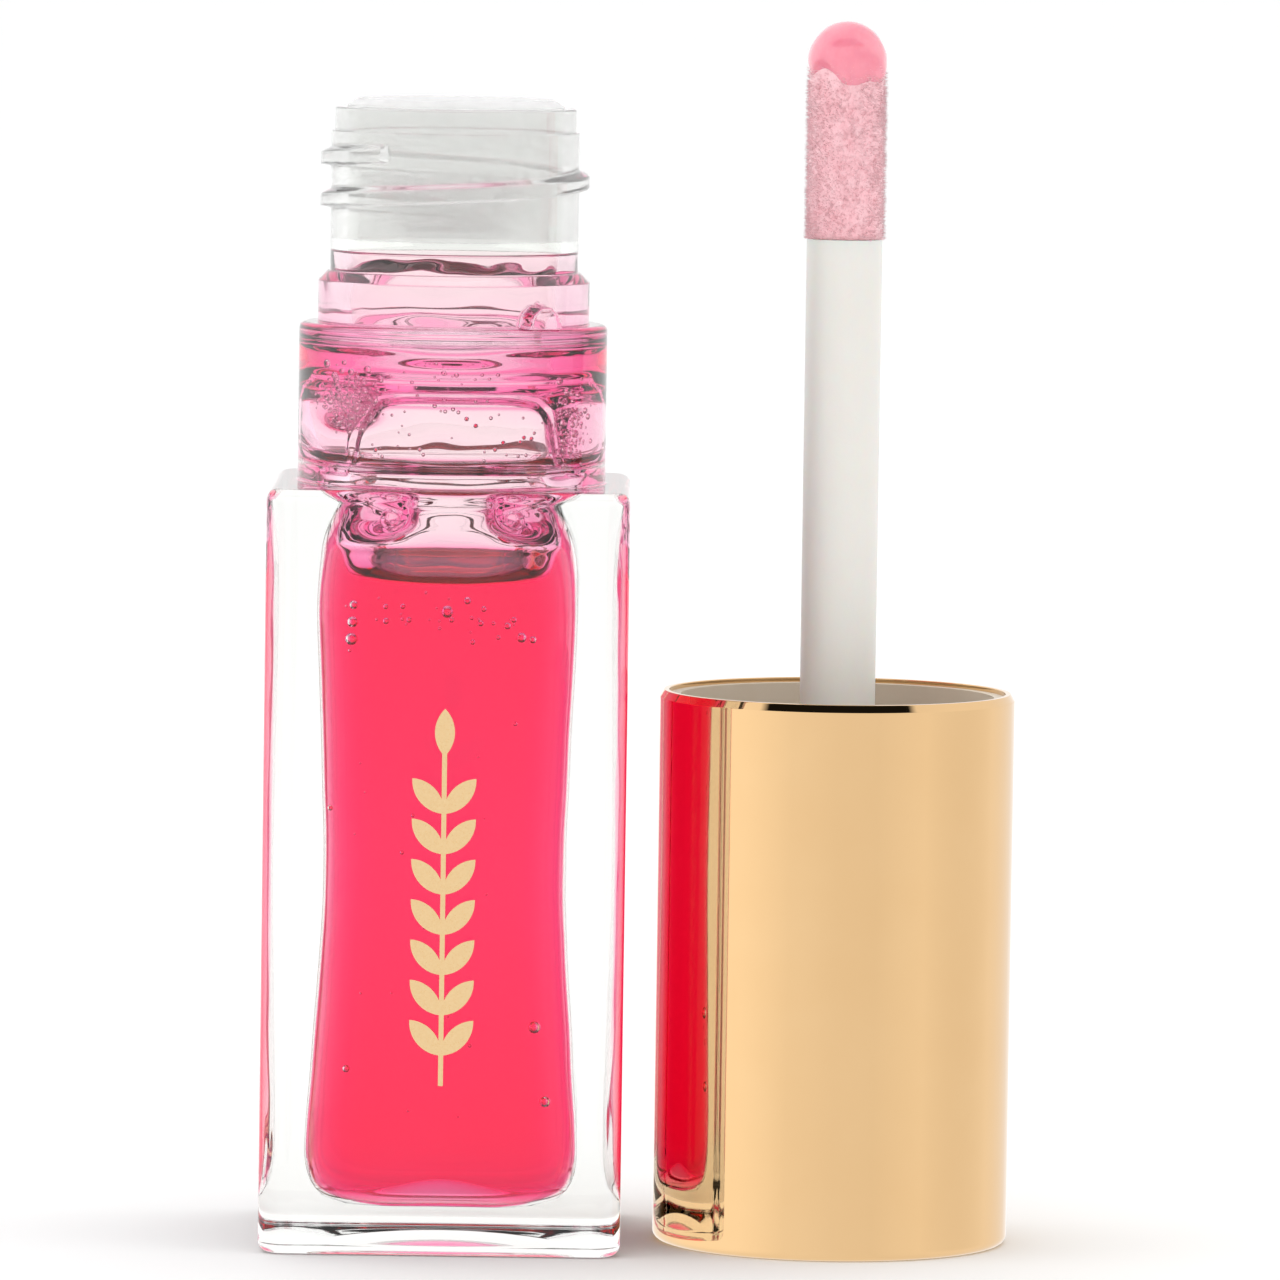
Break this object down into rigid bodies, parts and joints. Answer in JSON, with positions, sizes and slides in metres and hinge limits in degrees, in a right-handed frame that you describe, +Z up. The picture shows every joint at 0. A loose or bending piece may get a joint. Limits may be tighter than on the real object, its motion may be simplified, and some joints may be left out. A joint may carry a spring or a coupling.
{
  "type": "lip gloss tube",
  "caption": "Square clear lip gloss bottle with threaded neck and wiper, its round gold cap standing beside it with the flocked applicator wand upright.",
  "frame": {"origin": "middle of the pair at table height, between the bottle and the cap that stands beside it", "axes": "+Z up along the bottle and the wand, +X from the bottle to the cap, -Y is the decorated front"},
  "size_m": [0.0396, 0.019, 0.0647],
  "materials": {
    "clear_plastic": "clear, polished, thick-walled",
    "pink_gloss": "clear pink liquid with small bubbles",
    "wiper_plastic": "milky, soft",
    "gold_foil": "hot-stamped gold foil",
    "gold_shell": "mirror-polished, gold-coloured",
    "cream_plastic": "moulded, satin",
    "steel": "turned",
    "stem_plastic": "moulded, off-white, slightly translucent",
    "core_plastic": "moulded",
    "pink_flock": "short flock fibres, tinted by the gloss",
    "wet_gloss": "wet film of gloss"
  },
  "bodies": {
    "bottle_set": {"bottle": "clear_plastic", "gloss_fill": "pink_gloss", "wiper": "wiper_plastic", "foil_sprig": "gold_foil"},
    "cap_pivot": {"cap_weight": "steel"},
    "cap_and_wand": {"cap_shell": "gold_shell", "inner_cap": "cream_plastic", "wand_stem": "stem_plastic", "applicator_core": "core_plastic", "applicator_flock": "pink_flock", "tip_gloss": "wet_gloss"}
  },
  "joints": [
    {"name": "cap_swing", "type": "hinge", "parent": "bottle_set", "child": "cap_pivot", "pos_m": [0.00005, 0, 0.0665], "axis": [0, -1, 0], "range_deg": [0, 180]},
    {"name": "cap_turn", "type": "hinge", "parent": "cap_pivot", "child": "cap_and_wand", "pos_m": [0.01035, 0, 0], "axis": [0, 0, 1], "continuous": true}
  ]
}
